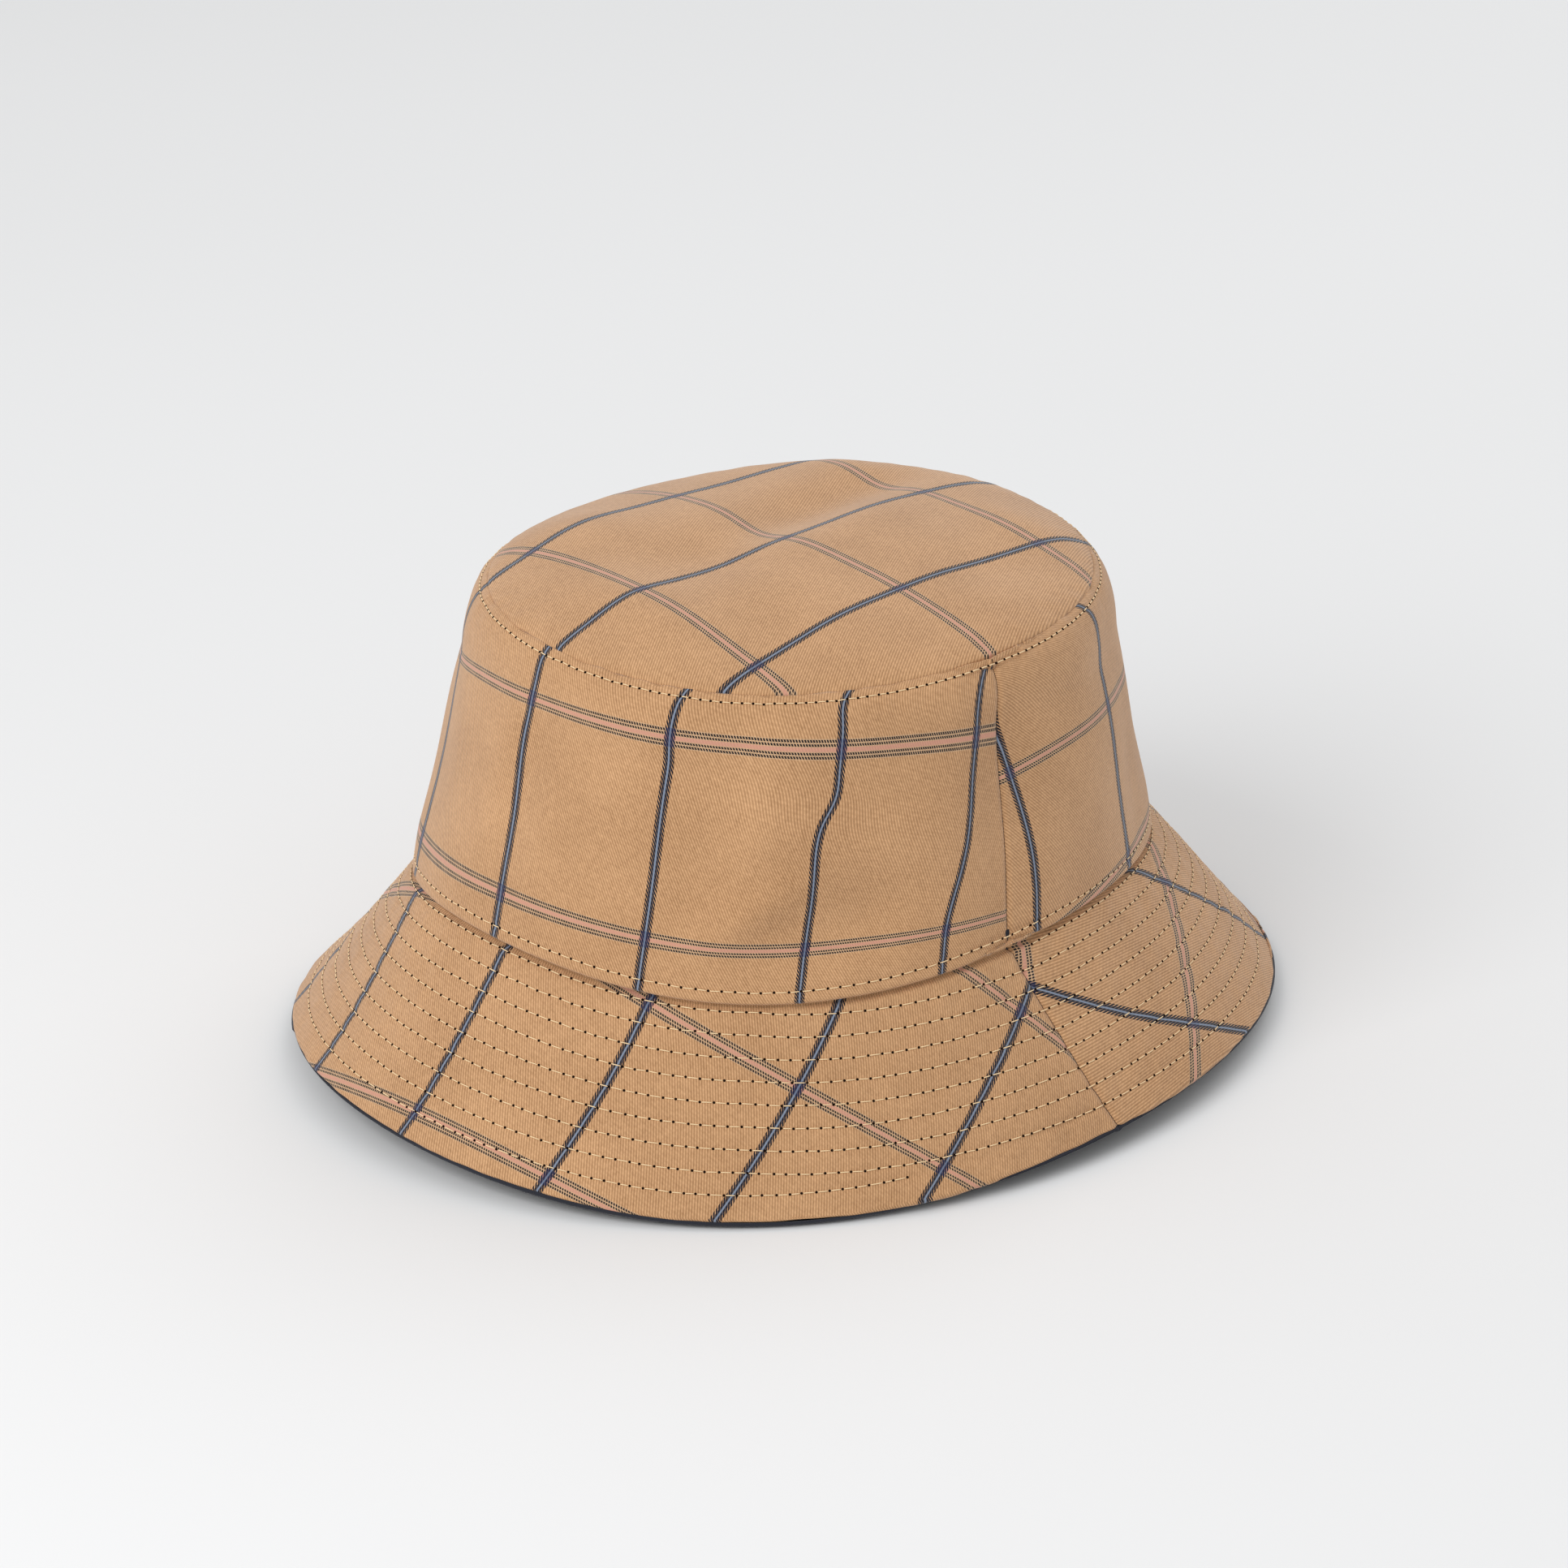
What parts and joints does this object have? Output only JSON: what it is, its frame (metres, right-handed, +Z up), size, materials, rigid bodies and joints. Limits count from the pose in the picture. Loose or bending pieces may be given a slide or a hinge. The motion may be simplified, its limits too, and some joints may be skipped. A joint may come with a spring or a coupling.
{
  "type": "bucket hat",
  "caption": "Reversible checked cotton bucket hat: oval crown tip, two-piece side, sloping brim with continuous rows of topstitching, and a plain dark lining.",
  "frame": {"origin": "centre of the hat's footprint on the floor, at the bottom of the brim edge", "axes": "+Z up towards the crown tip, -Y towards the wearer's front, +X towards the wearer's left; the two side seams lie in the XZ plane"},
  "size_m": [0.2356, 0.2604, 0.1281],
  "materials": {
    "checked_twill": "matte cotton twill, camel ground with narrow blue and pink window-pane checks",
    "dark_lining": "matte plain-weave cotton, near-black navy",
    "interlining": "soft needled felt, hidden",
    "sewing_thread": "slightly glossy spun sewing thread, pale gold"
  },
  "bodies": {
    "root": {"outer_crown_tip": "checked_twill", "outer_side_panel_front": "checked_twill", "outer_side_panel_back": "checked_twill", "outer_brim_front": "checked_twill", "outer_brim_back": "checked_twill", "brim_interlining_front": "interlining", "brim_interlining_back": "interlining", "lining_crown_tip": "dark_lining", "lining_side_panel_front": "dark_lining", "lining_side_panel_back": "dark_lining", "under_brim_front": "dark_lining", "under_brim_back": "dark_lining", "tip_topstitch_thread": "sewing_thread", "headline_topstitch_thread": "sewing_thread", "headline_bobbin_thread": "sewing_thread", "brim_needle_thread": "sewing_thread", "brim_bobbin_thread": "sewing_thread"}
  },
  "joints": []
}
